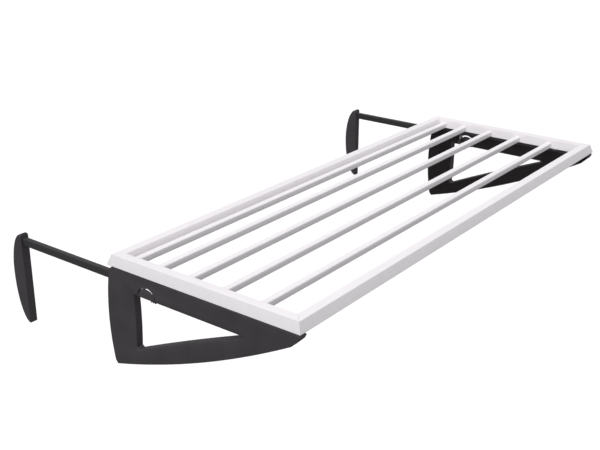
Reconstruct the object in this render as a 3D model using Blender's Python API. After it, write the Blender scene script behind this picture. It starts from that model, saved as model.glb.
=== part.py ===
"""Hook-on drying rack: a white barred frame on two folding brackets with sliding hook arms.

Axes: X along the rack, +Y towards the railing it hangs on, +Z up. The origin is midway
between the brackets, in the plane of their rear edges, level with the arms' undersides.
Side -1 is the left bracket and side +1 the right one. Lengths are metres.
"""
import math

import bmesh
import bpy

# White frame: mitred tube rails with a trapezoid section, and five bars between the end rails.
FRAME_LENGTH = 1.000
FRAME_DEPTH = 0.3676
FRAME_CENTRE_Y = -0.196
FRAME_TOP_Z = 0.042
RAIL_TOP_WIDTH = 0.0162
RAIL_FLARE = 0.0061
RAIL_HEIGHT = 0.0178
RAIL_WALL = 0.0010
BAR_WIDTH = 0.0122
BAR_HEIGHT = 0.0120
BAR_DROP = 0.0058
BAR_WALL = 0.0008
BAR_CORNER = 0.0026
BAR_OFFSETS = (0.1525, 0.1025, 0.0393, -0.0284, -0.1006)
TENON_WIDTH = 0.0084
TENON_HEIGHT = 0.0066
TENON_WALL = 0.0008
TENON_END_X = 0.4840
KEY_WIDTH = 0.0140
KEY_HEIGHT = 0.0110
KEY_LEG = 0.0400

# Brackets: an outer shell and an inset inner cover, in the plane of each end rail.
BRACKET_OUTER_X = 0.5050
BRACKET_INNER_X = 0.4900
BRACKET_TOP_Z = 0.0232
SHELL_WALL = 0.0020
COVER_OUTER_X = 0.4924
COVER_INNER_X = 0.4906
STRIP_BOTTOM_Z = 0.0147
REAR_TOP = (-0.0080, 0.0172)
REAR_BOTTOM = (-0.0080, -0.1438)
REAR_BULGE = 0.0080
TOE_REAR = (-0.0130, -0.1498)
TOE_FRONT = (-0.3675, 0.0002)
TOE_BULGE = 0.0113
TIP_POINTS = ((-0.3815, 0.0140), (-0.3850, 0.0203), (-0.3830, 0.0232))
TOP_REAR = (-0.0150, 0.0232)
HOLE_TOP_REAR = (-0.0610, -0.0122)
HOLE_BOTTOM_REAR = (-0.0600, -0.1043)
HOLE_BOTTOM_FRONT = (-0.0640, -0.1072)
HOLE_FRONT = (-0.2795, -0.0142)
HOLE_FRONT_TOP = (-0.2765, -0.0122)
HOLE_REAR_BOW = 0.0015
HOLE_LOWER_BOW = 0.0015

# Fold hinge: a rod along Y through the bracket and two lugs fixed in the end rail.
FOLD_X = 0.4940
FOLD_Z = 0.0192
FOLD_CORNER_RADIUS = 0.0040
ROD_RADIUS = 0.0015
ROD_REAR_Y = -0.0180
ROD_FRONT_Y = -0.3180
LUG_OFFSETS = (0.1150, -0.1100)
LUG_LENGTH = 0.0240
LUG_WIDTH = 0.0130
LUG_TONGUE = 0.0080
LUG_EYE_RADIUS = 0.0032

# Sliding arm, its inner end plug and its hook.
ARM_X = 0.4982
ARM_WIDTH = 0.0090
ARM_TOP_Z = 0.0130
ARM_WALL = 0.0012
ARM_CORNER = 0.0008
ARM_FRONT_Y = -0.0770
ARM_REAR_Y = 0.2167
PLUG_FLANGE = 0.0030
PLUG_LIP = 0.0014
PLUG_DEPTH = 0.0150
HOOK_FACE_Y = 0.2070
HOOK_CENTRE_Z = -0.0570
HOOK_BULGE = 0.0300
HOOK_RISE = 0.0788
HOOK_REACH = 0.0900
HOOK_TOP_THICKNESS = 0.0164
HOOK_TIP_THICKNESS = 0.0146
HOOK_SOCKET_DEPTH = 0.0100

# Release lever in an arched window, with its pin and spring.
LEVER_PIVOT = (-0.0665, -0.0045)
LEVER_PIN_RADIUS = 0.0015
LEVER_TRAVEL_DEG = 4.0
WINDOW_CENTRE = (-0.0900, -0.0125)
WINDOW_RADIUS = 0.0205
COVER_WINDOW_CENTRE = (-0.0940, -0.0050)
COVER_WINDOW_RADIUS = 0.0215
CHEEK_CENTRE_Z = -0.0148
CHEEK_RADIUS = 0.0196
CHEEK_THICKNESS = 0.0016
CHEEK_INSET = 0.0002
PAD_TOP_Z = -0.0068
PAD_BOTTOM_Z = -0.0122
PAD_RIBS = 3
RIB_PITCH = 0.0042
RIB_DEPTH = 0.0022
CORE_WIDTH = 0.0076
NOSE_END_Y = -0.0460
NOSE_START_Y = -0.0520
SPRING_Y = -0.0500
SPRING_TOP_Z = -0.0073
SPRING_BOTTOM_Z = -0.0147
SPRING_RADIUS = 0.0019
SPRING_WIRE = 0.00035
SPRING_TURNS = 5

# Cover screws, as (y, z) centres on the bracket.
SCREW_PLACES = ((-0.031, -0.040), (-0.036, -0.126), (-0.176, -0.073), (-0.321, -0.006))
BOSS_RADIUS = 0.0032
PILOT_RADIUS = 0.0016
SCREW_RADIUS = 0.0013
SCREW_HEAD_RADIUS = 0.0027
SCREW_TIP_X = 0.5025

GAP = 0.0003
REACH = 0.0200
OVERLAP = 0.0005
ROUND_STEPS = 16

WHITE = ("white_coat", (0.86, 0.85, 0.87, 1.0), 0.38, 0.0)
CHARCOAL = ("charcoal_plastic", (0.058, 0.055, 0.059, 1.0), 0.55, 0.0)
BLACK = ("black_coat", (0.026, 0.024, 0.026, 1.0), 0.42, 0.0)
NYLON = ("grey_nylon", (0.30, 0.30, 0.31, 1.0), 0.60, 0.0)
STEEL = ("bright_steel", (0.62, 0.62, 0.63, 1.0), 0.28, 1.0)


def clear_scene():
    for item in list(bpy.data.objects):
        bpy.data.objects.remove(item, do_unlink=True)


def make_object(name, mesh_data):
    """Close the bmesh into a named object with its faces pointing outwards."""
    bmesh.ops.recalc_face_normals(mesh_data, faces=mesh_data.faces)
    mesh = bpy.data.meshes.new(name)
    mesh_data.to_mesh(mesh)
    mesh_data.free()
    item = bpy.data.objects.new(name, mesh)
    bpy.context.collection.objects.link(item)
    return item


def paint(item, name, look):
    """Name a finished piece and give it its own material."""
    item.name = name
    item.data.name = name
    label, colour, roughness, metallic = look
    material = bpy.data.materials.new(name + "_" + label)
    material.use_nodes = True
    shader = material.node_tree.nodes["Principled BSDF"]
    shader.inputs["Base Color"].default_value = colour
    shader.inputs["Roughness"].default_value = roughness
    shader.inputs["Metallic"].default_value = metallic
    item.data.materials.clear()
    item.data.materials.append(material)
    return item


def smooth(item):
    item.data.shade_smooth()
    item.data.set_sharp_from_angle(angle=math.radians(35.0))
    return item


def boolean(target, tool, operation):
    """Apply one boolean to the target and remove the tool."""
    modifier = target.modifiers.new(operation.lower(), 'BOOLEAN')
    modifier.operation = operation
    modifier.solver = 'EXACT'
    modifier.object = tool
    bpy.context.view_layer.update()
    graph = bpy.context.evaluated_depsgraph_get()
    mesh = bpy.data.meshes.new_from_object(target.evaluated_get(graph))
    target.modifiers.remove(modifier)
    target.data = mesh
    bpy.data.objects.remove(tool, do_unlink=True)
    return target


def cut(target, *tools):
    for tool in tools:
        boolean(target, tool, 'DIFFERENCE')
    return target


def join(target, *tools):
    for tool in tools:
        boolean(target, tool, 'UNION')
    return target


def loft(rings, closed):
    """Skin equal rings of points; closed joins the last ring to the first, like a tube wall."""
    mesh_data = bmesh.new()
    loops = [[mesh_data.verts.new(point) for point in ring] for ring in rings]
    count = len(loops[0])
    pairs = list(zip(loops, loops[1:]))
    if closed:
        pairs.append((loops[-1], loops[0]))
    for first, second in pairs:
        for index in range(count):
            after = (index + 1) % count
            mesh_data.faces.new((first[index], first[after], second[after], second[index]))
    if not closed:
        mesh_data.faces.new(loops[0])
        mesh_data.faces.new(list(reversed(loops[-1])))
    return make_object("piece", mesh_data)


def slab(side, outline, outer_x, inner_x):
    """A plate parallel to the end of the rack, from its (y, z) outline."""
    rings = [[(side * x, y, z) for y, z in outline] for x in (outer_x, inner_x)]
    return loft(rings, False)


def block(low, high):
    """A box between two opposite corners, given in any order."""
    outline = [(low[1], low[2]), (high[1], low[2]), (high[1], high[2]), (low[1], high[2])]
    return slab(1, outline, low[0], high[0])


def side_block(side, x_pair, y_pair, z_pair):
    low = (side * x_pair[0], y_pair[0], z_pair[0])
    high = (side * x_pair[1], y_pair[1], z_pair[1])
    return block(low, high)


def turned(profile, centre, axis):
    """A solid of revolution: profile holds (distance along axis, radius) pairs."""
    rings = []
    for distance, radius in profile:
        ring = []
        for step in range(ROUND_STEPS):
            angle = 2.0 * math.pi * step / ROUND_STEPS
            across = radius * math.cos(angle)
            up = radius * math.sin(angle)
            offset = {"x": (distance, across, up), "y": (across, distance, up)}[axis]
            ring.append(tuple(centre[index] + offset[index] for index in range(3)))
        rings.append(ring)
    return loft(rings, False)


def bow(start, end, bulge, steps):
    """Points of a shallow arc from start to end, bulging to the left of that direction."""
    chord = math.dist(start, end)
    radius = (chord * chord / 4.0 + bulge * bulge) / (2.0 * bulge)
    half_angle = math.asin(chord / (2.0 * radius))
    along = ((end[0] - start[0]) / chord, (end[1] - start[1]) / chord)
    left = (-along[1], along[0])
    points = []
    for step in range(steps + 1):
        angle = half_angle * (2.0 * step / steps - 1.0)
        travel = chord / 2.0 + radius * math.sin(angle)
        lift = bulge - radius * (1.0 - math.cos(angle))
        y = start[0] + along[0] * travel + left[0] * lift
        z = start[1] + along[1] * travel + left[1] * lift
        points.append((y, z))
    return points


def inset(outline, distance):
    """The outline moved inwards by distance; a negative distance grows it."""
    area = 0.0
    count = len(outline)
    for index in range(count):
        y, z = outline[index]
        next_y, next_z = outline[(index + 1) % count]
        area += y * next_z - next_y * z
    inward = distance if area > 0.0 else -distance
    moved = []
    for index in range(count):
        before = outline[index - 1]
        here = outline[index]
        after = outline[(index + 1) % count]
        first = edge_normal(before, here)
        second = edge_normal(here, after)
        scale = inward / (1.0 + first[0] * second[0] + first[1] * second[1])
        moved.append((here[0] + (first[0] + second[0]) * scale,
                      here[1] + (first[1] + second[1]) * scale))
    return moved


def edge_normal(start, end):
    length = math.dist(start, end)
    return (-(end[1] - start[1]) / length, (end[0] - start[0]) / length)


def round_rectangle(width, height, corner, steps):
    """Centred rectangle outline whose corners are quarter circles."""
    points = []
    for turn, (sign_u, sign_v) in enumerate(((1, 1), (-1, 1), (-1, -1), (1, -1))):
        centre_u = sign_u * (width / 2.0 - corner)
        centre_v = sign_v * (height / 2.0 - corner)
        for step in range(steps + 1):
            angle = math.pi / 2.0 * (turn + step / steps)
            points.append((centre_u + corner * math.cos(angle), centre_v + corner * math.sin(angle)))
    return points


def rail_section():
    """Trapezoid rail section as (distance out from the frame's middle, drop) offsets."""
    return [(0.0, 0.0), (-RAIL_TOP_WIDTH, 0.0), (-RAIL_TOP_WIDTH - RAIL_FLARE, -RAIL_HEIGHT),
            (RAIL_FLARE, -RAIL_HEIGHT)]


def rail_inner_face(z):
    """Distance from the rack's middle to an end rail's inner face at height z."""
    fall = (FRAME_TOP_Z - z) / RAIL_HEIGHT
    return FRAME_LENGTH / 2.0 - RAIL_TOP_WIDTH - RAIL_FLARE * fall


def mitred_rail(half_across, half_along, place):
    """A hollow rail whose ends are cut at 45 degrees in plan."""
    outer = rail_section()
    inner = inset(outer, RAIL_WALL)
    rings = []
    for section, end in ((outer, -1), (outer, 1), (inner, 1), (inner, -1)):
        ring = []
        for out, drop in section:
            reach = half_along + out - GAP / 2.0
            ring.append(place(end * reach, half_across + out, FRAME_TOP_Z + drop))
        rings.append(ring)
    return loft(rings, True)


def long_rail(name, side):
    rail = mitred_rail(FRAME_DEPTH / 2.0, FRAME_LENGTH / 2.0,
                       lambda along, across, z: (along, FRAME_CENTRE_Y + side * across, z))
    return paint(rail, name, WHITE)


def end_rail(name, side):
    """An end rail with punched slots for the bars' tenons and the hinge lugs' tongues."""
    rail = mitred_rail(FRAME_LENGTH / 2.0, FRAME_DEPTH / 2.0,
                       lambda along, across, z: (side * across, FRAME_CENTRE_Y + along, z))
    bar_z = FRAME_TOP_Z - BAR_DROP - BAR_HEIGHT / 2.0
    half_y = TENON_WIDTH / 2.0 + GAP
    half_z = TENON_HEIGHT / 2.0 + GAP
    for offset in BAR_OFFSETS:
        y = FRAME_CENTRE_Y + offset
        slot = side_block(side, (TENON_END_X, TENON_END_X - REACH),
                          (y - half_y, y + half_y), (bar_z - half_z, bar_z + half_z))
        cut(rail, slot)
    bottom = FRAME_TOP_Z - RAIL_HEIGHT
    half_x = LUG_EYE_RADIUS + GAP
    half_y = LUG_TONGUE / 2.0 + GAP
    for offset in LUG_OFFSETS:
        y = FRAME_CENTRE_Y + offset
        slot = side_block(side, (FOLD_X + half_x, FOLD_X - half_x),
                          (y - half_y, y + half_y), (bottom - RAIL_WALL, bottom + 2.0 * RAIL_WALL))
        cut(rail, slot)
    return paint(rail, name, WHITE)


def drying_bar(name, offset):
    """A hollow bar whose stepped ends pass through the end rails' inner walls."""
    centre_y = FRAME_CENTRE_Y + offset
    centre_z = FRAME_TOP_Z - BAR_DROP - BAR_HEIGHT / 2.0
    full = round_rectangle(BAR_WIDTH, BAR_HEIGHT, BAR_CORNER, 3)
    bore = round_rectangle(BAR_WIDTH - 2.0 * BAR_WALL, BAR_HEIGHT - 2.0 * BAR_WALL,
                           BAR_CORNER - BAR_WALL, 3)
    tenon = round_rectangle(TENON_WIDTH, TENON_HEIGHT, BAR_CORNER - BAR_WALL, 3)
    tenon_bore = round_rectangle(TENON_WIDTH - 2.0 * TENON_WALL, TENON_HEIGHT - 2.0 * TENON_WALL,
                                 BAR_WALL / 4.0, 3)

    def shoulder(z):
        return rail_inner_face(z) - GAP

    def tip(z):
        return TENON_END_X - GAP

    def bore_end(z):
        return rail_inner_face(z) - GAP - BAR_WALL

    outside = ((tenon, tip), (tenon, shoulder), (full, shoulder))
    inside = ((bore, bore_end), (tenon_bore, bore_end), (tenon_bore, tip))
    route = [(section, end, -1) for section, end in outside]
    route += [(section, end, 1) for section, end in reversed(outside)]
    route += [(section, end, 1) for section, end in reversed(inside)]
    route += [(section, end, -1) for section, end in inside]
    rings = []
    for section, end, side in route:
        rings.append([(side * end(centre_z + v), centre_y + u, centre_z + v) for u, v in section])
    return paint(smooth(loft(rings, True)), name, WHITE)


def corner_key(name, side, end):
    """An L-shaped key inside two meeting rails."""
    half_key = KEY_WIDTH / 2.0
    centre_x = FRAME_LENGTH / 2.0 - RAIL_TOP_WIDTH / 2.0
    centre_y = FRAME_DEPTH / 2.0 - RAIL_TOP_WIDTH / 2.0
    plan = [(half_key, half_key), (half_key, -KEY_LEG), (-half_key, -KEY_LEG),
            (-half_key, -half_key), (-KEY_LEG, -half_key), (-KEY_LEG, half_key)]
    top = FRAME_TOP_Z - (RAIL_HEIGHT - KEY_HEIGHT) / 2.0
    rings = []
    for z in (top, top - KEY_HEIGHT):
        rings.append([(side * (centre_x + u), FRAME_CENTRE_Y + end * (centre_y + v), z) for u, v in plan])
    return paint(loft(rings, False), name, NYLON)


def hinge_lug(name, side, offset):
    """A block inside the end rail whose tongue hangs through a slot onto the fold rod."""
    y = FRAME_CENTRE_Y + offset
    cavity_top = FRAME_TOP_Z - 2.0 * RAIL_WALL
    cavity_bottom = FRAME_TOP_Z - RAIL_HEIGHT + RAIL_WALL + GAP
    middle = FRAME_LENGTH / 2.0 - RAIL_TOP_WIDTH / 2.0
    body = side_block(side, (middle + LUG_WIDTH / 2.0, middle - LUG_WIDTH / 2.0),
                      (y - LUG_LENGTH / 2.0, y + LUG_LENGTH / 2.0), (cavity_bottom, cavity_top))
    tongue = []
    steps = ROUND_STEPS // 2
    for step in range(steps + 1):
        angle = -math.pi * step / steps
        tongue.append((FOLD_X + LUG_EYE_RADIUS * math.cos(angle), FOLD_Z + LUG_EYE_RADIUS * math.sin(angle)))
    tongue_top = cavity_bottom + OVERLAP
    tongue += [(FOLD_X - LUG_EYE_RADIUS, tongue_top), (FOLD_X + LUG_EYE_RADIUS, tongue_top)]
    half = LUG_TONGUE / 2.0
    rings = [[(side * x, y + edge, z) for x, z in tongue] for edge in (-half, half)]
    join(body, loft(rings, False))
    eye = turned(((-REACH, ROD_RADIUS + GAP), (REACH, ROD_RADIUS + GAP)), (side * FOLD_X, y, FOLD_Z), "y")
    return paint(cut(body, eye), name, NYLON)


def bracket_outline():
    rear = bow(REAR_BOTTOM, REAR_TOP, -REAR_BULGE, 9)
    lower = bow(TOE_FRONT, TOE_REAR, -TOE_BULGE, 14)
    return rear + [TOP_REAR] + list(reversed(TIP_POINTS)) + lower


def hole_outline():
    rear = bow(HOLE_BOTTOM_REAR, HOLE_TOP_REAR, HOLE_REAR_BOW, 6)
    lower = bow(HOLE_FRONT, HOLE_BOTTOM_FRONT, HOLE_LOWER_BOW, 10)
    return rear + [HOLE_FRONT_TOP] + lower


def bracket_interior(side, wall, outer_x, inner_x):
    """The space inside the bracket's walls, below the solid hinge strip along its top."""
    space = slab(side, inset(bracket_outline(), wall), outer_x, inner_x)
    walled_hole = slab(side, inset(hole_outline(), -wall), outer_x + REACH, inner_x - REACH)
    strip_z = STRIP_BOTTOM_Z - (wall - SHELL_WALL)
    strip = side_block(side, (outer_x + REACH, inner_x - REACH), (-0.5, 0.1), (strip_z, strip_z + 0.1))
    return cut(space, walled_hole, strip)


def arch(centre, radius, base_z, steps):
    """Upper part of a circle, closed by a flat base at base_z."""
    start = math.asin((base_z - centre[1]) / radius)
    points = []
    for step in range(steps + 1):
        angle = start + (math.pi - 2.0 * start) * step / steps
        points.append((centre[0] + radius * math.cos(angle), centre[1] + radius * math.sin(angle)))
    return points


def window_cutter(side, centre, radius):
    outline = arch(centre, radius, PAD_BOTTOM_Z - OVERLAP, ROUND_STEPS)
    return slab(side, outline, BRACKET_OUTER_X + REACH, BRACKET_INNER_X - REACH)


def pin_along_x(side, place, radius, outer_x, inner_x):
    return turned(((side * inner_x, radius), (side * outer_x, radius)), (0.0, place[0], place[1]), "x")


def fold_corner_cutter(side):
    """What lies outside the rounded top inner edge, concentric with the fold rod."""
    outline = [(FOLD_X - FOLD_CORNER_RADIUS - OVERLAP, FOLD_Z), (FOLD_X - FOLD_CORNER_RADIUS, FOLD_Z)]
    for step in range(1, 7):
        angle = math.pi - math.pi / 2.0 * step / 6
        outline.append((FOLD_X + FOLD_CORNER_RADIUS * math.cos(angle),
                        FOLD_Z + FOLD_CORNER_RADIUS * math.sin(angle)))
    top = BRACKET_TOP_Z + OVERLAP
    outline += [(FOLD_X, top), (FOLD_X - FOLD_CORNER_RADIUS - OVERLAP, top)]
    return loft([[(side * x, y, z) for x, z in outline] for y in (-0.5, 0.1)], False)


def bracket_shell(name, side):
    """Outer wall, rims, hinge strip, guide ribs, spring seat and screw bosses in one moulding."""
    shell = slab(side, bracket_outline(), BRACKET_OUTER_X, BRACKET_INNER_X)
    cut(shell, slab(side, hole_outline(), BRACKET_OUTER_X + REACH, BRACKET_INNER_X - REACH))
    inner_wall_x = BRACKET_OUTER_X - SHELL_WALL
    cut(shell, bracket_interior(side, SHELL_WALL, inner_wall_x, BRACKET_INNER_X - OVERLAP))
    rib_x = (inner_wall_x + OVERLAP, COVER_OUTER_X + GAP)
    arm_floor = -0.0010
    join(shell, side_block(side, rib_x, (-0.0420, -0.0390), (-0.0300, STRIP_BOTTOM_Z + OVERLAP)))
    join(shell, side_block(side, rib_x, (-0.0200, -0.0170), (-0.0300, STRIP_BOTTOM_Z + OVERLAP)))
    join(shell, side_block(side, rib_x, (-0.3160, -0.1160), (arm_floor - 0.0016, arm_floor)))
    seat_z = SPRING_BOTTOM_Z - GAP
    join(shell, side_block(side, rib_x, (-0.0550, -0.0450), (seat_z - 0.0020, seat_z)))
    for place in SCREW_PLACES:
        join(shell, pin_along_x(side, place, BOSS_RADIUS, inner_wall_x + OVERLAP, COVER_OUTER_X + GAP))
        cut(shell, pin_along_x(side, place, PILOT_RADIUS, SCREW_TIP_X + GAP, BRACKET_INNER_X - REACH))
    arm_half = ARM_WIDTH / 2.0 + GAP
    channel = side_block(side, (ARM_X + arm_half, ARM_X - arm_half), (-0.0450, REACH),
                         (-GAP, ARM_TOP_Z + GAP))
    cut(shell, channel, window_cutter(side, WINDOW_CENTRE, WINDOW_RADIUS), fold_corner_cutter(side))
    cut(shell, pin_along_x(side, LEVER_PIVOT, LEVER_PIN_RADIUS + GAP,
                           BRACKET_OUTER_X - 0.0006, COVER_OUTER_X))
    rod_hole = turned(((ROD_FRONT_Y - GAP, ROD_RADIUS + GAP), (REACH, ROD_RADIUS + GAP)),
                      (side * FOLD_X, 0.0, FOLD_Z), "y")
    cut(shell, rod_hole)
    half_tongue = LUG_TONGUE / 2.0 + GAP
    pocket_radius = LUG_EYE_RADIUS + GAP
    for offset in LUG_OFFSETS:
        y = FRAME_CENTRE_Y + offset
        cut(shell, side_block(side, (FOLD_X + pocket_radius, BRACKET_INNER_X - OVERLAP),
                              (y - half_tongue, y + half_tongue),
                              (FOLD_Z - pocket_radius, BRACKET_TOP_Z + OVERLAP)))
    return paint(shell, name, CHARCOAL)


def bracket_cover(name, side):
    """Flat cover set into the shell's rim on the rack's inner side."""
    cover = bracket_interior(side, SHELL_WALL + GAP, COVER_OUTER_X, COVER_INNER_X)
    cut(cover, window_cutter(side, COVER_WINDOW_CENTRE, COVER_WINDOW_RADIUS))
    cut(cover, pin_along_x(side, LEVER_PIVOT, LEVER_PIN_RADIUS + GAP,
                           COVER_OUTER_X + REACH, COVER_INNER_X + OVERLAP))
    sink = SCREW_HEAD_RADIUS + GAP
    shank = SCREW_RADIUS + GAP
    for place in SCREW_PLACES:
        profile = ((side * (COVER_INNER_X - OVERLAP), sink + OVERLAP),
                   (side * (COVER_INNER_X + sink - shank), shank),
                   (side * (COVER_OUTER_X + OVERLAP), shank))
        cut(cover, turned(profile, (0.0, place[0], place[1]), "x"))
    return paint(cover, name, CHARCOAL)


def cover_screw(name, side, place):
    """Countersunk screw with its head flush in the cover."""
    head_x = COVER_INNER_X
    neck_x = head_x + SCREW_HEAD_RADIUS - SCREW_RADIUS
    profile = ((side * head_x, SCREW_HEAD_RADIUS), (side * neck_x, SCREW_RADIUS),
               (side * SCREW_TIP_X, SCREW_RADIUS))
    return paint(smooth(turned(profile, (0.0, place[0], place[1]), "x")), name, STEEL)


def fold_rod(name, side):
    rod = turned(((ROD_FRONT_Y, ROD_RADIUS), (ROD_REAR_Y, ROD_RADIUS)), (side * FOLD_X, 0.0, FOLD_Z), "y")
    return paint(smooth(rod), name, STEEL)


def sliding_arm(name, side):
    """Rectangular steel tube that slides in the bracket's top limb."""
    middle_z = ARM_TOP_Z / 2.0
    outer = round_rectangle(ARM_WIDTH, ARM_TOP_Z, ARM_CORNER, 2)
    inner = round_rectangle(ARM_WIDTH - 2.0 * ARM_WALL, ARM_TOP_Z - 2.0 * ARM_WALL, ARM_CORNER / 2.0, 2)
    rings = []
    for section, y in ((outer, ARM_FRONT_Y), (outer, ARM_REAR_Y), (inner, ARM_REAR_Y), (inner, ARM_FRONT_Y)):
        rings.append([(side * ARM_X + u, y, middle_z + v) for u, v in section])
    return paint(loft(rings, True), name, BLACK)


def arm_plug(name, side):
    """Plug in the arm's inner end; its lip stops the arm at a guide rib when pulled out."""
    half = ARM_WIDTH / 2.0
    flange_end = ARM_FRONT_Y - GAP
    flange = side_block(side, (ARM_X + half, ARM_X - half), (flange_end - PLUG_FLANGE, flange_end),
                        (0.0, ARM_TOP_Z + PLUG_LIP))
    fit = half - ARM_WALL - GAP
    rise = ARM_WALL + GAP
    spigot = side_block(side, (ARM_X + fit, ARM_X - fit), (flange_end - OVERLAP, flange_end + PLUG_DEPTH),
                        (rise, ARM_TOP_Z - rise))
    return paint(join(flange, spigot), name, NYLON)


def hook_outline():
    """Flat front face and a back made of two quarter ellipses that meet at the widest point."""
    points = []
    steps = 10
    for step in range(2 * steps + 1):
        angle = math.pi / 2.0 * (1.0 - step / steps)
        height = HOOK_RISE if angle > 0.0 else HOOK_REACH
        points.append((HOOK_FACE_Y + HOOK_BULGE * math.cos(angle), HOOK_CENTRE_Z + height * math.sin(angle)))
    first = points[0]
    last = points[-1]
    blunt = 0.0020
    points[0] = (first[0] + blunt / 2.0, first[1] - blunt / 4.0)
    points[-1] = (last[0] + blunt, last[1] + blunt / 2.0)
    return [(first[0], first[1] - blunt)] + points + [(last[0], last[1] + 2.0 * blunt)]


def rail_hook(name, side):
    """Horn-shaped hook that thins towards its tip, with a socket for the arm."""
    top = HOOK_CENTRE_Z + HOOK_RISE
    bottom = HOOK_CENTRE_Z - HOOK_REACH
    rings = []
    for face in (1, -1):
        ring = []
        for y, z in hook_outline():
            share = (top - z) / (top - bottom)
            thickness = HOOK_TOP_THICKNESS + (HOOK_TIP_THICKNESS - HOOK_TOP_THICKNESS) * share
            ring.append((side * ARM_X + face * thickness / 2.0, y, z))
        rings.append(ring)
    hook = loft(rings, False)
    half = ARM_WIDTH / 2.0 + GAP
    socket = side_block(side, (ARM_X + half, ARM_X - half),
                        (HOOK_FACE_Y - OVERLAP, HOOK_FACE_Y + HOOK_SOCKET_DEPTH), (-GAP, ARM_TOP_Z + GAP))
    return paint(cut(hook, socket), name, CHARCOAL)


def pad_top(y):
    """Height of the lever's upper side, kept under the arm at full press."""
    return -0.0011 - (LEVER_PIVOT[0] - y) * math.tan(math.radians(LEVER_TRAVEL_DEG))


def release_lever(name, side):
    """Ribbed finger pad below the arm, a half-moon cheek outside it, and a nose under it."""
    cheek = arch((WINDOW_CENTRE[0], CHEEK_CENTRE_Z), CHEEK_RADIUS, PAD_BOTTOM_Z, ROUND_STEPS)
    rear_y = cheek[0][0]
    front_y = cheek[-1][0]
    outer_x = BRACKET_OUTER_X - CHEEK_INSET
    inner_x = COVER_OUTER_X + GAP
    rise = math.sqrt(CHEEK_RADIUS ** 2 - (PAD_TOP_Z - CHEEK_CENTRE_Z) ** 2)
    pad = [cheek[0], (WINDOW_CENTRE[0] + rise, PAD_TOP_Z), (WINDOW_CENTRE[0] - rise, PAD_TOP_Z), cheek[-1]]
    lever = slab(side, pad, outer_x, inner_x)
    join(lever, slab(side, cheek, outer_x, outer_x - CHEEK_THICKNESS))
    core_bottom = -0.0070
    core = [(rear_y - 0.0100, pad_top(rear_y - 0.0100)), (NOSE_START_Y, -0.0010),
            (NOSE_START_Y + 0.0015, -GAP), (NOSE_END_Y, -GAP), (NOSE_END_Y, core_bottom),
            (rear_y - 0.0010, core_bottom), (rear_y - 0.0100, PAD_BOTTOM_Z + 0.0010)]
    join(lever, slab(side, core, ARM_X + CORE_WIDTH / 2.0, ARM_X - CORE_WIDTH / 2.0))
    for index in range(PAD_RIBS):
        y = front_y + 0.0012 + RIB_PITCH * index
        rib = [(y, PAD_BOTTOM_Z + 0.0015), (y + 0.0006, PAD_BOTTOM_Z - RIB_DEPTH),
               (y + 0.0022, PAD_BOTTOM_Z - RIB_DEPTH), (y + 0.0028, PAD_BOTTOM_Z + 0.0015)]
        join(lever, slab(side, rib, outer_x - OVERLAP, inner_x + OVERLAP))
    cut(lever, pin_along_x(side, LEVER_PIVOT, LEVER_PIN_RADIUS + GAP, outer_x + REACH, inner_x - REACH))
    return paint(lever, name, CHARCOAL)


def lever_pin(name, side):
    outer_x = BRACKET_OUTER_X - 0.0009
    inner_x = COVER_INNER_X + OVERLAP + GAP
    return paint(smooth(pin_along_x(side, LEVER_PIVOT, LEVER_PIN_RADIUS, outer_x, inner_x)), name, STEEL)


def lever_spring(name, side):
    """Coil spring between the shell's seat and the rear of the lever."""
    wire_sides = 6
    steps = SPRING_TURNS * 10
    low = SPRING_BOTTOM_Z + SPRING_WIRE
    climb = SPRING_TOP_Z - SPRING_BOTTOM_Z - 2.0 * SPRING_WIRE
    rings = []
    for step in range(steps + 1):
        angle = 2.0 * math.pi * SPRING_TURNS * step / steps
        out = (math.cos(angle), math.sin(angle))
        ring = []
        for corner in range(wire_sides):
            turn = 2.0 * math.pi * corner / wire_sides
            radius = SPRING_RADIUS + SPRING_WIRE * math.cos(turn)
            z = low + climb * step / steps + SPRING_WIRE * math.sin(turn)
            ring.append((side * ARM_X + radius * out[0], SPRING_Y + radius * out[1], z))
        rings.append(ring)
    return paint(smooth(loft(rings, False)), name, STEEL)


def build_frame():
    long_rail("rear_rail", 1)
    long_rail("front_rail", -1)
    end_rail("left_rail", -1)
    end_rail("right_rail", 1)
    for number, offset in enumerate(BAR_OFFSETS, start=1):
        drying_bar("drying_bar_%d" % number, offset)
    for side, side_name in ((-1, "left"), (1, "right")):
        corner_key(side_name + "_rear_corner_key", side, 1)
        corner_key(side_name + "_front_corner_key", side, -1)
        for offset, place in zip(LUG_OFFSETS, ("rear", "front")):
            hinge_lug("%s_%s_hinge_lug" % (side_name, place), side, offset)


def build_bracket(side_name, side):
    bracket_shell(side_name + "_bracket_shell", side)
    bracket_cover(side_name + "_bracket_cover", side)
    fold_rod(side_name + "_fold_rod", side)
    for number, place in enumerate(SCREW_PLACES, start=1):
        cover_screw("%s_cover_screw_%d" % (side_name, number), side, place)
    release_lever(side_name + "_release_lever", side)
    lever_pin(side_name + "_lever_pin", side)
    lever_spring(side_name + "_lever_spring", side)


def build_arm(side_name, side):
    sliding_arm(side_name + "_arm", side)
    arm_plug(side_name + "_arm_plug", side)
    rail_hook(side_name + "_hook", side)


def main():
    clear_scene()
    build_frame()
    for side, side_name in ((-1, "left"), (1, "right")):
        build_bracket(side_name, side)
        build_arm(side_name, side)


main()
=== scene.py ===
"""Looks of the hook-on drying rack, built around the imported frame.

Rails, bars, arms, bracket shells and levers keep the CAD's inner shape and get rounded outer
edges. Hooks, screws, rods, pins and springs are modelled anew in their CAD places. Covers, arm
plugs, corner keys and hinge lugs keep their CAD shape and get a detailed material.
"""
import math

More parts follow.
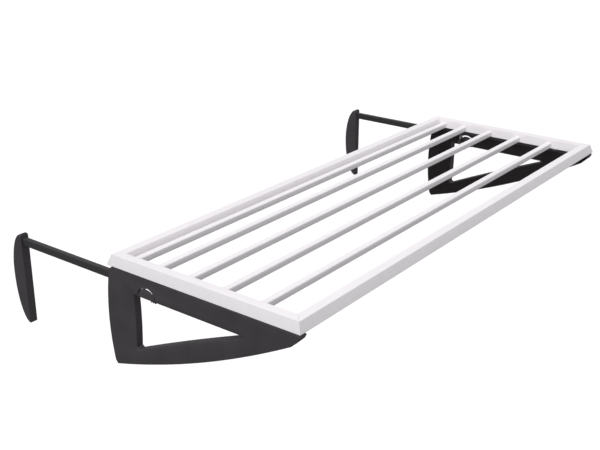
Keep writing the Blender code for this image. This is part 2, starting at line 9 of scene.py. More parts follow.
import bmesh
import bpy
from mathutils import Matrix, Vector


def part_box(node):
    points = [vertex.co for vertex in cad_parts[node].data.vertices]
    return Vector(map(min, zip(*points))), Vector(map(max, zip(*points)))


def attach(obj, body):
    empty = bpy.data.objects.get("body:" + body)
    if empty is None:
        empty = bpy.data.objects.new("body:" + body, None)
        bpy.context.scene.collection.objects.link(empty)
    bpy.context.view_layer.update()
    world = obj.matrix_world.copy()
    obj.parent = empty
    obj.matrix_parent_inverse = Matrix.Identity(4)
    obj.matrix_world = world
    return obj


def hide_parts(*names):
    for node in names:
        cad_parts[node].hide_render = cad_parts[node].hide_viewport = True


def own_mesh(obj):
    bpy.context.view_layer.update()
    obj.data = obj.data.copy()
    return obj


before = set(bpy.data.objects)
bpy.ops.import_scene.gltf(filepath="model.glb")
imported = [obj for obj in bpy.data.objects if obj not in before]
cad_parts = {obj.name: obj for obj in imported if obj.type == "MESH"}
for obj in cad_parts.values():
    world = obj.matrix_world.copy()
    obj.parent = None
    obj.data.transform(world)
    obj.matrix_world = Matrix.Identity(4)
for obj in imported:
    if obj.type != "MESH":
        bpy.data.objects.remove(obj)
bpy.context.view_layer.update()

SIDES = (("left", -1), ("right", 1))

# Rails and bars of the white frame.
RAIL_TOP_WIDTH = 0.0162
RAIL_FLARE = 0.0061
RAIL_EDGE = 0.0009
BAR_CORNER = 0.0026

# How far a smooth envelope stays inside the CAD surface.
SKIN = 0.0001

# Bracket and hole outlines, as (y, z), and the bracket's rounded edges.
REAR_TOP = (-0.0080, 0.0172)
REAR_BOTTOM = (-0.0080, -0.1438)
REAR_BULGE = 0.0080
TOE_REAR = (-0.0130, -0.1498)
TOE_FRONT = (-0.3675, 0.0002)
TOE_BULGE = 0.0113
TIP_POINTS = ((-0.3815, 0.0140), (-0.3850, 0.0203), (-0.3830, 0.0232))
TOP_REAR = (-0.0150, 0.0232)
HOLE_TOP_REAR = (-0.0610, -0.0122)
HOLE_BOTTOM_REAR = (-0.0600, -0.1043)
HOLE_BOTTOM_FRONT = (-0.0640, -0.1072)
HOLE_FRONT = (-0.2795, -0.0142)
HOLE_FRONT_TOP = (-0.2765, -0.0122)
HOLE_REAR_BOW = 0.0015
HOLE_LOWER_BOW = 0.0015
BRACKET_EDGE = 0.0019
INNER_EDGE = 0.0007

# Dished band around the bracket's hole.
DISH_WIDTH = 0.0090
DISH_DEPTH = 0.0019

# Hook: flat face towards the rack, and a back of two quarter ellipses. The tip's share of the
# top's thickness, the widest point's share of the height, and the rounding of edges and ends.
HOOK_TIP_SHARE = 0.89
HOOK_WIDEST = 0.467
HOOK_CREASE = 0.0007
HOOK_BACK = 0.0022
HOOK_TOP_DOME = 0.0060
HOOK_TIP_DOME = 0.0016
HOOK_TIP_DEPTH = 0.0034
HOOK_END_TURN = math.radians(86.0)
HOOK_STEPS = 84

# How much of a dome's shrinking the hook's sides, front and back take.
DOME_SIDES = 0.9
DOME_FRONT = 0.25
DOME_BACK = 0.5

# Fasteners, arm and spring.
SCREW_RIM = 0.0002
SCREW_SHANK_SHARE = 0.48
SCREW_POINT_LENGTH = 0.0010
SCREW_POINT_SHARE = 0.4
SCREW_RECESS_WIDTH = 0.0007
SCREW_RECESS_REACH = 0.0016
SCREW_RECESS_DEPTH = 0.0009
SHAFT_CHAMFER_SHARE = 0.25
ARM_CORNER = 0.0009
SPRING_TURNS = 5
SPRING_STEPS_PER_TURN = 24
SPRING_WIRE_SIDES = 10
SPRING_WIRE = 0.00035
LEVER_EDGE = 0.0004

# Mesh handling: weld distance, and the angles of a flat, a bevelled and a sharp edge.
WELD_DISTANCE = 1e-6
FLAT_ANGLE = math.radians(0.5)
BEVEL_ANGLE = math.radians(30.0)
SHARP_ANGLE = math.radians(32.0)

# Clearance between the hook's socket and the arm, and how far a cutter passes its target.
GAP = 0.0003
REACH = 0.0200

# Noise values between these two cover most of a surface.
NOISE_LOW = 0.30
NOISE_HIGH = 0.70

# Moulded plastic: how much its roughness varies, and how much lighter its edges are painted, as
# scuffing with a painted sheen.
ROUGHNESS_SPREAD = 0.06
EDGE_SCUFF_SHEEN_LIGHTER = 1.6

# Camera: place, look direction, lens and sensor width.
CAMERA_PLACE = (-1.4073, -1.0758, 0.6422)
CAMERA_YAW = math.radians(52.53)
CAMERA_PITCH = math.radians(-21.98)
CAMERA_LENS = 57.87
SENSOR_WIDTH = 36.0
FLOOR_Z = -2.2
FLOOR_SIZE = 60.0

# Ambient light, stronger from above than from below, which changes over this height.
AMBIENT_ABOVE = 0.50
AMBIENT_BELOW = 0.22
AMBIENT_CHANGE = 0.3

# Soft suns, as azimuth, elevation, spread and strength.
OVERHEAD_LIGHT = (0.0, 90.0, 70.0, 1.45)
LEFT_LIGHT = (188.0, 30.0, 50.0, 1.02)


def new_object(name, mesh_data):
    bmesh.ops.recalc_face_normals(mesh_data, faces=mesh_data.faces)
    mesh = bpy.data.meshes.new(name)
    mesh_data.to_mesh(mesh)
    mesh_data.free()
    item = bpy.data.objects.new(name, mesh)
    bpy.context.scene.collection.objects.link(item)
    return item


def smooth(item):
    item.data.shade_smooth()
    item.data.set_sharp_from_angle(angle=SHARP_ANGLE)
    return item


def with_modifiers(item):
    """The object's mesh as its modifiers make it."""
    bpy.context.view_layer.update()
    graph = bpy.context.evaluated_depsgraph_get()
    return bpy.data.meshes.new_from_object(item.evaluated_get(graph))


def boolean(target, tool, operation):
    modifier = target.modifiers.new(operation.lower(), 'BOOLEAN')
    modifier.operation = operation
    modifier.solver = 'EXACT'
    modifier.object = tool
    mesh = with_modifiers(target)
    target.modifiers.remove(modifier)
    target.data = mesh
    bpy.data.objects.remove(tool, do_unlink=True)
    return target


def loft(name, rings):
    """A closed solid: a skin over rings with equally many points, and a cap at each end."""
    mesh_data = bmesh.new()
    loops = [[mesh_data.verts.new(point) for point in ring] for ring in rings]
    count = len(loops[0])
    for first, second in zip(loops, loops[1:]):
        for index in range(count):
            after = (index + 1) % count
            mesh_data.faces.new((first[index], first[after], second[after], second[index]))
    mesh_data.faces.new(loops[0])
    mesh_data.faces.new(list(reversed(loops[-1])))
    return new_object(name, mesh_data)


def turned(name, profile, centre, axis, sides=32):
    """A solid of revolution from (distance along axis, radius) pairs."""
    rings = []
    for distance, radius in profile:
        ring = []
        for step in range(sides):
            angle = 2.0 * math.pi * step / sides
            across = radius * math.cos(angle)
            up = radius * math.sin(angle)
            offset = {"x": (distance, across, up), "y": (across, distance, up)}[axis]
            ring.append(tuple(centre[index] + offset[index] for index in range(3)))
        rings.append(ring)
    return loft(name, rings)


def prism(name, outline, x_values):
    """A solid with this (y, z) outline between two x values."""
    return loft(name, [[(x, y, z) for y, z in outline] for x in x_values])


def box_solid(name, low, high):
    outline = [(low[1], low[2]), (high[1], low[2]), (high[1], high[2]), (low[1], high[2])]
    return prism(name, outline, (low[0], high[0]))


def edge_normal(start, end):
    length = math.dist(start, end)
    return (-(end[1] - start[1]) / length, (end[0] - start[0]) / length)


def inset(outline, distance):
    """The outline moved inwards by distance; a negative distance grows it."""
    area = 0.0
    count = len(outline)
    for index in range(count):
        y, z = outline[index]
        next_y, next_z = outline[(index + 1) % count]
        area += y * next_z - next_y * z
    inward = distance if area > 0.0 else -distance
    moved = []
    for index in range(count):
        here = outline[index]
        first = edge_normal(outline[index - 1], here)
        second = edge_normal(here, outline[(index + 1) % count])
        scale = inward / (1.0 + first[0] * second[0] + first[1] * second[1])
        moved.append((here[0] + (first[0] + second[0]) * scale,
                      here[1] + (first[1] + second[1]) * scale))
    return moved


def fillet(outline, radii, steps):
    """The outline with each corner rounded to its radius, in this many steps."""
    points = []
    count = len(outline)
    for index in range(count):
        here = Vector(outline[index])
        radius = radii[index]
        back = (Vector(outline[index - 1]) - here).normalized()
        ahead = (Vector(outline[(index + 1) % count]) - here).normalized()
        half = back.angle(ahead) / 2.0
        reach = radius / math.tan(half)
        centre = here + (back + ahead).normalized() * (radius / math.sin(half))
        start = here + back * reach - centre
        end = here + ahead * reach - centre
        sweep = start.angle_signed(end)
        for step in range(steps + 1):
            turn = -sweep * step / steps
            rotated = (start.x * math.cos(turn) - start.y * math.sin(turn),
                       start.x * math.sin(turn) + start.y * math.cos(turn))
            points.append((centre.x + rotated[0], centre.y + rotated[1]))
    return points


def bow(start, end, bulge, steps):
    """Points of a shallow arc from start to end, bulging to the left of that direction."""
    chord = math.dist(start, end)
    radius = (chord * chord / 4.0 + bulge * bulge) / (2.0 * bulge)
    half_angle = math.asin(chord / (2.0 * radius))
    along = ((end[0] - start[0]) / chord, (end[1] - start[1]) / chord)
    points = []
    for step in range(steps + 1):
        angle = half_angle * (2.0 * step / steps - 1.0)
        travel = chord / 2.0 + radius * math.sin(angle)
        lift = bulge - radius * (1.0 - math.cos(angle))
        points.append((start[0] + along[0] * travel - along[1] * lift,
                       start[1] + along[1] * travel + along[0] * lift))
    return points


def quarter_turns(steps):
    return [math.pi / 2.0 * step / steps for step in range(steps + 1)]


def soft_slab(name, outline, x_values, edges, steps, grow=False):
    """A plate in the (y, z) plane whose rims are rounded, or flared when it cuts a hole."""
    start_x, end_x = x_values
    start_edge, end_edge = edges
    direction = 1.0 if end_x > start_x else -1.0
    turns = quarter_turns(steps)
    layers = []
    for turn in turns:
        layers.append((start_x + direction * start_edge * (1.0 - math.cos(turn)),
                       start_edge * (1.0 - math.sin(turn))))
    for turn in reversed(turns):
        layers.append((end_x - direction * end_edge * (1.0 - math.cos(turn)),
                       end_edge * (1.0 - math.sin(turn))))
    if grow:
        layers.insert(0, (start_x - direction * REACH, start_edge))
        layers.append((end_x + direction * REACH, end_edge))
    rings = []
    for x, distance in layers:
        moved = inset(outline, -distance if grow else distance)
        rings.append([(x, y, z) for y, z in moved])
    return loft(name, rings)


def welded_copy(node, name):
    """The CAD node's own shape as a new closed mesh."""
    mesh_data = bmesh.new()
    mesh_data.from_mesh(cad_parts[node].data)
    bmesh.ops.remove_doubles(mesh_data, verts=mesh_data.verts, dist=WELD_DISTANCE)
    bmesh.ops.dissolve_limit(mesh_data, angle_limit=FLAT_ANGLE, verts=mesh_data.verts,
                             edges=mesh_data.edges)
    return new_object(name, mesh_data)


def soften(node, envelope):
    """The CAD shape cut back to a smooth envelope, which rounds its outer edges."""
    piece = welded_copy(node, node + "_soft")
    return smooth(boolean(piece, envelope, 'INTERSECT'))


def finish_piece(piece, node, body, material):
    piece.data.materials.clear()
    piece.data.materials.append(material)
    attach(piece, body)
    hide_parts(node)


# ---------------------------------------------------------------- materials

def start_material(name):
    material = bpy.data.materials.new(name)
    material.use_nodes = True
    tree = material.node_tree
    shader = tree.nodes["Principled BSDF"]
    place = tree.nodes.new("ShaderNodeTexCoord")
    return material, tree, shader, place.outputs["Object"]


def noise(tree, source, scale, detail, stretch=(1.0, 1.0, 1.0)):
    """A noise value between 0 and 1; stretch scales the space before the noise."""
    mapping = tree.nodes.new("ShaderNodeMapping")
    mapping.inputs["Scale"].default_value = stretch
    tree.links.new(source, mapping.inputs["Vector"])
    texture = tree.nodes.new("ShaderNodeTexNoise")
    texture.inputs["Scale"].default_value = scale
    texture.inputs["Detail"].default_value = detail
    tree.links.new(mapping.outputs["Vector"], texture.inputs["Vector"])
    return texture.outputs["Fac"]


def ramp(tree, source, stops):
    """A colour ramp from (position, colour) pairs."""
    node = tree.nodes.new("ShaderNodeValToRGB")
    elements = node.color_ramp.elements
    elements[0].position, elements[0].color = stops[0]
    elements[1].position, elements[1].color = stops[-1]
    for position, colour in stops[1:-1]:
        element = elements.new(position)
        element.color = colour
    tree.links.new(source, node.inputs["Fac"])
    return node.outputs["Color"]


def map_range(tree, source, start, end):
    """The source mapped from the start pair of values to the end pair, and held inside it."""
    node = tree.nodes.new("ShaderNodeMapRange")
    for name, value in zip(("From Min", "From Max", "To Min", "To Max"), start + end):
        node.inputs[name].default_value = value
    tree.links.new(source, node.inputs["Value"])
    return node.outputs["Result"]


def span(tree, source, low, high):
    """A noise value stretched to low to high."""
    return map_range(tree, source, (NOISE_LOW, NOISE_HIGH), (low, high))


def blend_colours(tree, factor, base, colour):
    """The base output blended towards a fixed colour."""
    node = tree.nodes.new("ShaderNodeMix")
    node.data_type = 'RGBA'
    tree.links.new(factor, node.inputs["Factor"])
    tree.links.new(base, node.inputs["A"])
    node.inputs["B"].default_value = colour
    return node.outputs["Result"]


def bump(tree, shader, layers):
    """Stack of (height source, distance in metres, strength) bumps on the shader's normal."""
    previous = None
    for height, distance, strength in layers:
        node = tree.nodes.new("ShaderNodeBump")
        node.inputs["Distance"].default_value = distance
        node.inputs["Strength"].default_value = strength
        tree.links.new(height, node.inputs["Height"])
        if previous is not None:
            tree.links.new(previous, node.inputs["Normal"])
        previous = node.outputs["Normal"]
    tree.links.new(previous, shader.inputs["Normal"])


def edge_mask(tree, low, high):
    """1 on convex edges and 0 on flats, from the mesh's own pointiness."""
    geometry = tree.nodes.new("ShaderNodeNewGeometry")
    return map_range(tree, geometry.outputs["Pointiness"], (low, high), (0.0, 1.0))


def multiply(tree, first, second):
    node = tree.nodes.new("ShaderNodeMath")
    node.operation = 'MULTIPLY'
    tree.links.new(first, node.inputs[0])
    tree.links.new(second, node.inputs[1])
    return node.outputs["Value"]


def white_coat():
    """Satin white powder coat: faint orange peel, slight cloudiness and a painted highlight on the
    convex edges.
    """
    material, tree, shader, place = start_material("white_powder_coat")
    cloud = noise(tree, place, 7.0, 3.0)
    base = ramp(tree, cloud, [(NOISE_LOW, (0.815, 0.790, 0.818, 1.0)),
                              (NOISE_HIGH, (0.845, 0.820, 0.848, 1.0))])
    # Convex edges painted lighter in patches: a painted highlight.
    edge_highlight = multiply(tree, edge_mask(tree, 0.52, 0.62), noise(tree, place, 90.0, 4.0))
    colour = blend_colours(tree, edge_highlight, base, (0.90, 0.895, 0.90, 1.0))
    tree.links.new(colour, shader.inputs["Base Color"])
    rough = span(tree, noise(tree, place, 60.0, 4.0), 0.34, 0.46)
    tree.links.new(rough, shader.inputs["Roughness"])
    shader.inputs["Specular IOR Level"].default_value = 0.45
    bump(tree, shader, ((noise(tree, place, 620.0, 2.0), 0.00006, 0.35),
                        (noise(tree, place, 2600.0, 2.0), 0.00002, 0.25)))
    return material


def moulded_plastic(name, dark, light, rough, gloss=0.25):
    """Moulded plastic: spark-eroded grain, soft flow clouds, and edges painted lighter as scuffs
    with a painted sheen.
    """
    material, tree, shader, place = start_material(name)
    cloud = noise(tree, place, 22.0, 4.0)
    base = ramp(tree, cloud, [(NOISE_LOW, dark), (NOISE_HIGH, light)])
    # Convex edges painted lighter in patches: partly scuffing, partly a painted sheen.
    scuff_sheen_mask = multiply(tree, edge_mask(tree, 0.52, 0.64), noise(tree, place, 140.0, 4.0))
    scuff_sheen_colour = tuple(min(1.0, value * EDGE_SCUFF_SHEEN_LIGHTER) for value in light[:3]) + (1.0,)
    tree.links.new(blend_colours(tree, scuff_sheen_mask, base, scuff_sheen_colour), shader.inputs["Base Color"])
    roughness = span(tree, noise(tree, place, 85.0, 5.0), rough - ROUGHNESS_SPREAD,
                     rough + ROUGHNESS_SPREAD)
    tree.links.new(roughness, shader.inputs["Roughness"])
    shader.inputs["Specular IOR Level"].default_value = gloss
    bump(tree, shader, ((noise(tree, place, 1500.0, 3.0), 0.00005, 0.55),
                        (noise(tree, place, 38.0, 2.0), 0.00020, 0.20)))
    return material


def black_coat():
    """Satin black coat on the arm's tube, with sliding marks along it."""
    material, tree, shader, place = start_material("black_satin_coat")
    marks = noise(tree, place, 60.0, 5.0, (30.0, 0.8, 30.0))
    base = ramp(tree, marks, [(NOISE_LOW, (0.022, 0.020, 0.022, 1.0)),
                              (0.60, (0.028, 0.025, 0.028, 1.0)),
                              (0.78, (0.040, 0.037, 0.040, 1.0))])
    wear = multiply(tree, edge_mask(tree, 0.53, 0.66), noise(tree, place, 220.0, 5.0))
    tree.links.new(blend_colours(tree, wear, base, (0.09, 0.09, 0.092, 1.0)),
                   shader.inputs["Base Color"])
    tree.links.new(span(tree, marks, 0.46, 0.60), shader.inputs["Roughness"])
    shader.inputs["Specular IOR Level"].default_value = 0.25
    bump(tree, shader, ((marks, 0.00003, 0.40), (noise(tree, place, 1300.0, 2.0), 0.00003, 0.35)))
    return material


def plated_steel(name, dark, light):
    """Plated steel with fine drawn lines."""
    material, tree, shader, place = start_material(name)
    lines = noise(tree, place, 300.0, 4.0, (1.0, 0.15, 1.0))
    base = ramp(tree, lines, [(NOISE_LOW, dark), (NOISE_HIGH, light)])
    tree.links.new(base, shader.inputs["Base Color"])
    shader.inputs["Metallic"].default_value = 1.0
    tree.links.new(span(tree, lines, 0.24, 0.40), shader.inputs["Roughness"])
    bump(tree, shader, ((lines, 0.00002, 0.40),))
    return material


# ---------------------------------------------------------------- white frame

def rail_envelope(half_across, half_along, top, place):
    """Solid rail with rounded edges, mitred at both ends, a hair inside the CAD skin."""
    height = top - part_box("front_rail")[0].z
    corners = [(-SKIN, -SKIN), (-RAIL_TOP_WIDTH + SKIN, -SKIN),
               (-RAIL_TOP_WIDTH - RAIL_FLARE + SKIN, -height + SKIN),
               (RAIL_FLARE - SKIN, -height + SKIN)]
    section = fillet(corners, (RAIL_EDGE,) * 4, 5)
    rings = []
    for end in (-1, 1):
        rings.append([place(end * (half_along + out + REACH), half_across + out, top + drop)
                      for out, drop in section])
    return loft("rail_envelope", rings)


def build_rails(coat):
    low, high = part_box("left_rail")
    centre_y = (low.y + high.y) / 2.0
    half_depth = (high.y - low.y) / 2.0 - RAIL_FLARE
    half_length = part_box("right_rail")[1].x - RAIL_FLARE
    top = high.z
    rails = (
        ("front_rail", half_depth, half_length,
         lambda along, across, z: (along, centre_y - across, z)),
        ("rear_rail", half_depth, half_length,
         lambda along, across, z: (along, centre_y + across, z)),
        ("left_rail", half_length, half_depth,
         lambda along, across, z: (-across, centre_y + along, z)),
        ("right_rail", half_length, half_depth,
         lambda along, across, z: (across, centre_y + along, z)),
    )
    for node, half_across, half_along, place in rails:
        rail = soften(node, rail_envelope(half_across, half_along, top, place))
        finish_piece(rail, node, "frame", coat)


def rounded_box_section(low, high, corner, steps):
    """Outline of a rectangle with round corners between two (u, v) corners."""
    corners = [(low[0], low[1]), (high[0], low[1]), (high[0], high[1]), (low[0], high[1])]
    return fillet(corners, (corner,) * 4, steps)


def build_bars(coat):
    for number in range(1, 6):
        node = "drying_bar_%d" % number
        low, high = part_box(node)
        section = rounded_box_section((low.y + SKIN, low.z + SKIN), (high.y - SKIN, high.z - SKIN),
                                      BAR_CORNER, 8)
        bar = soften(node, prism("bar_envelope", section, (low.x - REACH, high.x + REACH)))
        finish_piece(bar, node, "frame", coat)


# ---------------------------------------------------------------- brackets

def bracket_outline():
    rear = bow(REAR_BOTTOM, REAR_TOP, -REAR_BULGE, 36)
    lower = bow(TOE_FRONT, TOE_REAR, -TOE_BULGE, 56)
    corners = rear + [TOP_REAR] + list(reversed(TIP_POINTS)) + lower
    return inset(corners, SKIN * 1.5)


def hole_outline():
    rear = bow(HOLE_BOTTOM_REAR, HOLE_TOP_REAR, HOLE_REAR_BOW, 18)
    lower = bow(HOLE_FRONT, HOLE_BOTTOM_FRONT, HOLE_LOWER_BOW, 40)
    return inset(rear + [HOLE_FRONT_TOP] + lower, -SKIN)


def dish_cutter(outer_x, side):
    """Curved band around the hole, deepest at the hole's edge."""
    outline = hole_outline()
    layers = [(-REACH, DISH_WIDTH)]
    for turn in quarter_turns(20):
        layers.append((DISH_DEPTH * (1.0 - math.cos(turn)), DISH_WIDTH * (1.0 - math.sin(turn))))
    rings = []
    for depth, growth in layers:
        x = outer_x - side * depth
        rings.append([(x, y, z) for y, z in inset(outline, -growth)])
    return loft("dish_cutter", rings)


def build_shell(side_name, side, plastic):
    node = side_name + "_bracket_shell"
    low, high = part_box(node)
    outer_x = side * (max(abs(low.x), abs(high.x)) - SKIN)
    inner_x = side * (min(abs(low.x), abs(high.x)) + SKIN)
    envelope = soft_slab("bracket_envelope", bracket_outline(), (outer_x, inner_x),
                         (BRACKET_EDGE, INNER_EDGE), 5)
    hole = soft_slab("bracket_hole", hole_outline(), (outer_x, inner_x),
                     (INNER_EDGE, INNER_EDGE), 4, grow=True)
    boolean(envelope, hole, 'DIFFERENCE')
    boolean(envelope, dish_cutter(outer_x, side), 'DIFFERENCE')
    shell = soften(node, envelope)
    finish_piece(shell, node, side_name + "_bracket", plastic)


def bevelled_copy(node, width, segments):
    """The CAD shape with every sharp edge rounded by a bevel."""
    piece = welded_copy(node, node + "_soft")
    bevel = piece.modifiers.new("bevel", 'BEVEL')
    bevel.width = width
    bevel.segments = segments
    bevel.limit_method = 'ANGLE'
    bevel.angle_limit = BEVEL_ANGLE
    mesh = with_modifiers(piece)
    piece.modifiers.remove(bevel)
    piece.data = mesh
    return smooth(piece)


def build_lever(side_name, side, plastic):
    """The CAD lever with soft edges, dished like the shell around it."""
    node = side_name + "_release_lever"
    lever = bevelled_copy(node, LEVER_EDGE, 2)
    low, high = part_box(node)
    outer_x = side * max(abs(low.x), abs(high.x))
    hole_top = HOLE_TOP_REAR[1]
    outline = [(outer_x + side * REACH, hole_top + DISH_WIDTH)]
    for turn in quarter_turns(8):
        outline.append((outer_x - side * DISH_DEPTH * (1.0 - math.cos(turn)),
                        hole_top + DISH_WIDTH * (1.0 - math.sin(turn))))
    outline += [(outer_x - side * DISH_DEPTH, low.z - REACH),
                (outer_x + side * REACH, low.z - REACH)]
    cutter = loft("lever_dish", [[(x, y, z) for x, z in outline]
                                 for y in (low.y - REACH, high.y + REACH)])
    smooth(boolean(lever, cutter, 'DIFFERENCE'))
    finish_piece(lever, node, side_name + "_lever", plastic)


def build_screw(node, side, body, steel):
    """Countersunk screw with a cross recess in its flush head."""
    low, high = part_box(node)
    head_x = side * min(abs(low.x), abs(high.x))
    tip_x = side * max(abs(low.x), abs(high.x))
    centre = (0.0, (low.y + high.y) / 2.0, (low.z + high.z) / 2.0)
    head_radius = (high.y - low.y) / 2.0
    shank_radius = head_radius * SCREW_SHANK_SHARE
    neck_x = head_x + side * (head_radius - shank_radius)
    profile = ((head_x, head_radius - SCREW_RIM), (head_x + side * SCREW_RIM, head_radius),
               (neck_x, shank_radius), (tip_x - side * SCREW_POINT_LENGTH, shank_radius),
               (tip_x, shank_radius * SCREW_POINT_SHARE))
    screw = turned(node + "_soft", profile, centre, "x")
    cut_from = head_x - side * SCREW_RECESS_DEPTH
    cut_to = head_x + side * SCREW_RECESS_DEPTH
    for half_y, half_z in ((SCREW_RECESS_REACH, SCREW_RECESS_WIDTH / 2.0),
                           (SCREW_RECESS_WIDTH / 2.0, SCREW_RECESS_REACH)):
        slot = box_solid("screw_slot", (cut_from, centre[1] - half_y, centre[2] - half_z),
                         (cut_to, centre[1] + half_y, centre[2] + half_z))
        boolean(screw, slot, 'DIFFERENCE')
    finish_piece(smooth(screw), node, body, steel)


def build_shaft(node, axis, body, steel):
    """A round rod or pin with chamfered ends."""
    low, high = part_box(node)
    middle = (low + high) / 2.0
    index = "xy".index(axis)
    radius = (high.z - low.z) / 2.0
    chamfer = radius * SHAFT_CHAMFER_SHARE
    start = low[index]
    end = high[index]
    centre = list(middle)
    centre[index] = 0.0
    profile = ((start, radius - chamfer), (start + chamfer, radius), (end - chamfer, radius),
               (end, radius - chamfer))
    shaft = smooth(turned(node + "_soft", profile, centre, axis))
    finish_piece(shaft, node, body, steel)


def build_spring(node, body, steel):
    """Round-wire coil spring in its CAD place."""
    low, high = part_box(node)
    centre = (low + high) / 2.0
    coil_radius = (high.x - low.x) / 2.0 - SPRING_WIRE
    climb = high.z - low.z - 2.0 * SPRING_WIRE
    steps = SPRING_TURNS * SPRING_STEPS_PER_TURN
    rings = []
    for step in range(steps + 1):
        angle = 2.0 * math.pi * SPRING_TURNS * step / steps
        ring = []
        for corner in range(SPRING_WIRE_SIDES):
            turn = 2.0 * math.pi * corner / SPRING_WIRE_SIDES
            radius = coil_radius + SPRING_WIRE * math.cos(turn)
            ring.append((centre.x + radius * math.cos(angle), centre.y + radius * math.sin(angle),
                         low.z + SPRING_WIRE + climb * step / steps + SPRING_WIRE * math.sin(turn)))
        rings.append(ring)
    spring = smooth(loft(node + "_soft", rings))
    finish_piece(spring, node, body, steel)
    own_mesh(spring)


# ---------------------------------------------------------------- arms and hooks

def build_arm(side_name, coat):
    node = side_name + "_arm"
    low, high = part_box(node)
    section = rounded_box_section((low.x + SKIN / 2.0, low.z + SKIN / 2.0),
                                  (high.x - SKIN / 2.0, high.z - SKIN / 2.0), ARM_CORNER, 6)
    rings = [[(x, y, z) for x, z in section] for y in (low.y - REACH, high.y + REACH)]
    arm = soften(node, loft("arm_envelope", rings))
    finish_piece(arm, node, side_name + "_sliding_arm", coat)


def hook_section(half, depth):
    """Flat front with small corners, flat flanks and a round-cornered back, as (x, y) points."""
    crease = min(HOOK_CREASE, 0.4 * half, 0.3 * depth)
    back = min(HOOK_BACK, 0.6 * half, 0.6 * depth)
    corners = [(-half, 0.0), (-half, depth), (half, depth), (half, 0.0)]
    return fillet(corners, (crease, back, back, crease), 6)


def build_hook(side_name, plastic):
    """Horn-shaped hook: flat front, rounded back, thinner towards the tip, with a socket."""
    node = side_name + "_hook"
    low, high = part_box(node)
    middle_x = (low.x + high.x) / 2.0
    half_top = (high.x - low.x) / 2.0
    height = high.z - low.z
    rise = height * HOOK_WIDEST
    reach = height - rise
    rings = []
    for step in range(HOOK_STEPS + 1):
        turn = HOOK_END_TURN * (1.0 - 2.0 * step / HOOK_STEPS)
        z = high.z - rise + (rise if turn > 0.0 else reach) * math.sin(turn)
        dome = HOOK_TOP_DOME if turn > 0.0 else HOOK_TIP_DOME
        missing = max(0.0, dome - min(high.z - z, z - low.z))
        shrink = dome - math.sqrt(dome ** 2 - missing ** 2)
        taper = 1.0 - (1.0 - HOOK_TIP_SHARE) * (high.z - z) / height
        half = half_top * taper - DOME_SIDES * shrink
        front = low.y + DOME_FRONT * shrink
        depth = max(HOOK_TIP_DEPTH, (high.y - low.y) * math.cos(turn)) - DOME_BACK * shrink
        rings.append([(middle_x + x, front + y, z) for x, y in hook_section(half, depth)])
    hook = loft(node + "_soft", rings)
    arm_low, arm_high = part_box(side_name + "_arm")
    socket = box_solid("hook_socket", (arm_low.x - GAP, low.y - REACH, arm_low.z - GAP),
                       (arm_high.x + GAP, arm_high.y + GAP, arm_high.z + GAP))
    boolean(hook, socket, 'DIFFERENCE')
    finish_piece(smooth(hook), node, side_name + "_sliding_arm", plastic)


# ---------------------------------------------------------------- stage

def build_stage():
    material, tree, shader, place = start_material("studio_floor")
    shade = ramp(tree, noise(tree, place, 0.8, 2.0), [(NOISE_LOW, (0.955, 0.955, 0.955, 1.0)),
                                                      (NOISE_HIGH, (0.965, 0.965, 0.965, 1.0))])
    tree.links.new(shade, shader.inputs["Base Color"])
    shader.inputs["Roughness"].default_value = 0.9
    mesh_data = bmesh.new()
    half = FLOOR_SIZE / 2.0
    corners = ((-half, -half), (half, -half), (half, half), (-half, half))
    mesh_data.faces.new([mesh_data.verts.new((x, y, FLOOR_Z)) for x, y in corners])
    floor = new_object("studio_floor", mesh_data)
    floor.data.materials.append(material)
    floor.visible_diffuse = False
    floor.visible_glossy = False


def add_soft_sun(name, azimuth, elevation, spread, strength):
    """Even soft light from a direction in degrees, like a large distant softbox."""
    data = bpy.data.lights.new(name, 'SUN')
    data.angle = math.radians(spread)
    data.energy = strength
    light = bpy.data.objects.new(name, data)
    level = math.cos(math.radians(elevation))
    turn = math.radians(azimuth)
    towards = Vector((math.cos(turn) * level, math.sin(turn) * level,
                      math.sin(math.radians(elevation))))
    light.rotation_euler = towards.to_track_quat('Z', 'Y').to_euler()
    bpy.context.scene.collection.objects.link(light)


def build_lights():
    """Two soft suns in a graded ambient light, which the camera itself sees as plain white."""
    world = bpy.data.worlds.new("studio_world")
    world.use_nodes = True
    tree = world.node_tree
    background = tree.nodes["Background"]
    background.inputs["Color"].default_value = (1.0, 0.98, 1.0, 1.0)
    direction = tree.nodes.new("ShaderNodeTexCoord")
    parts = tree.nodes.new("ShaderNodeSeparateXYZ")
    tree.links.new(direction.outputs["Generated"], parts.inputs["Vector"])
    strength = map_range(tree, parts.outputs["Z"], (-AMBIENT_CHANGE, AMBIENT_CHANGE),
                         (AMBIENT_BELOW, AMBIENT_ABOVE))
    tree.links.new(strength, background.inputs["Strength"])
    backdrop = tree.nodes.new("ShaderNodeBackground")
    backdrop.inputs["Color"].default_value = (1.0, 1.0, 1.0, 1.0)
    path = tree.nodes.new("ShaderNodeLightPath")
    choice = tree.nodes.new("ShaderNodeMixShader")
    tree.links.new(path.outputs["Is Camera Ray"], choice.inputs["Fac"])
    tree.links.new(background.outputs["Background"], choice.inputs[1])
    tree.links.new(backdrop.outputs["Background"], choice.inputs[2])
    tree.links.new(choice.outputs["Shader"], tree.nodes["World Output"].inputs["Surface"])
    bpy.context.scene.world = world
    add_soft_sun("overhead_softbox", *OVERHEAD_LIGHT)
    add_soft_sun("left_softbox", *LEFT_LIGHT)


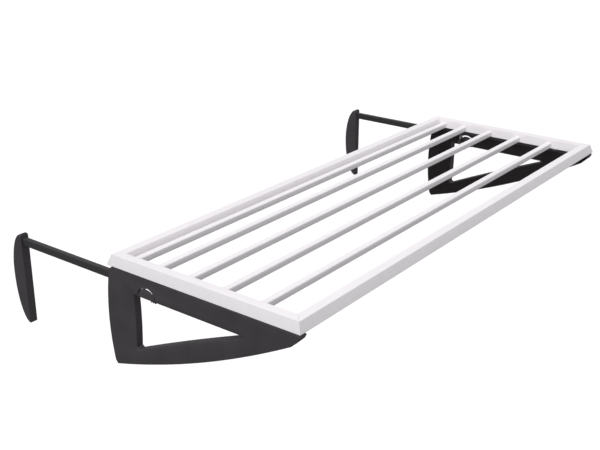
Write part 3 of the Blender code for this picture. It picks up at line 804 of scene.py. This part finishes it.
def build_camera():
    data = bpy.data.cameras.new("camera")
    data.lens = CAMERA_LENS
    data.sensor_width = SENSOR_WIDTH
    camera = bpy.data.objects.new("camera", data)
    camera.location = CAMERA_PLACE
    level = math.cos(CAMERA_PITCH)
    look = Vector((math.sin(CAMERA_YAW) * level, math.cos(CAMERA_YAW) * level,
                   math.sin(CAMERA_PITCH)))
    camera.rotation_euler = look.to_track_quat('-Z', 'Y').to_euler()
    bpy.context.scene.collection.objects.link(camera)
    bpy.context.scene.camera = camera


def dress_node(node, material):
    """Give a CAD node that stays its detailed material."""
    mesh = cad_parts[node].data
    mesh.materials.clear()
    mesh.materials.append(material)


def build_object():
    coat = white_coat()
    plastic = moulded_plastic("charcoal_moulding", (0.052, 0.047, 0.052, 1.0),
                              (0.064, 0.058, 0.064, 1.0), 0.55)
    # The cover is a darker matt black than the shell: partly its own colour, partly painted shade
    # from the frame above the bracket's inner face.
    cover_black_with_shade = moulded_plastic("black_matt_moulding_painted_shade", (0.013, 0.011, 0.012, 1.0),
                           (0.019, 0.017, 0.018, 1.0), 0.68, gloss=0.20)
    nylon = moulded_plastic("grey_nylon", (0.26, 0.26, 0.27, 1.0), (0.32, 0.32, 0.33, 1.0), 0.55)
    dark = black_coat()
    steel = plated_steel("zinc_plated_steel", (0.48, 0.48, 0.50, 1.0), (0.66, 0.66, 0.67, 1.0))
    black_steel = plated_steel("black_zinc_steel", (0.030, 0.029, 0.031, 1.0),
                               (0.055, 0.054, 0.057, 1.0))
    build_rails(coat)
    build_bars(coat)
    for side_name, side in SIDES:
        body = side_name + "_bracket"
        build_shell(side_name, side, plastic)
        dress_node(side_name + "_bracket_cover", cover_black_with_shade)
        build_lever(side_name, side, plastic)
        for number in range(1, 5):
            build_screw("%s_cover_screw_%d" % (side_name, number), side, body, black_steel)
        build_shaft(side_name + "_fold_rod", "y", body, steel)
        build_shaft(side_name + "_lever_pin", "x", body, steel)
        build_spring(side_name + "_lever_spring", body, steel)
        build_arm(side_name, dark)
        build_hook(side_name, plastic)
        dress_node(side_name + "_arm_plug", nylon)
        for end in ("rear", "front"):
            dress_node("%s_%s_corner_key" % (side_name, end), nylon)
            dress_node("%s_%s_hinge_lug" % (side_name, end), nylon)


build_object()
build_stage()
build_lights()
build_camera()
bpy.context.scene.view_settings.view_transform = 'Standard'
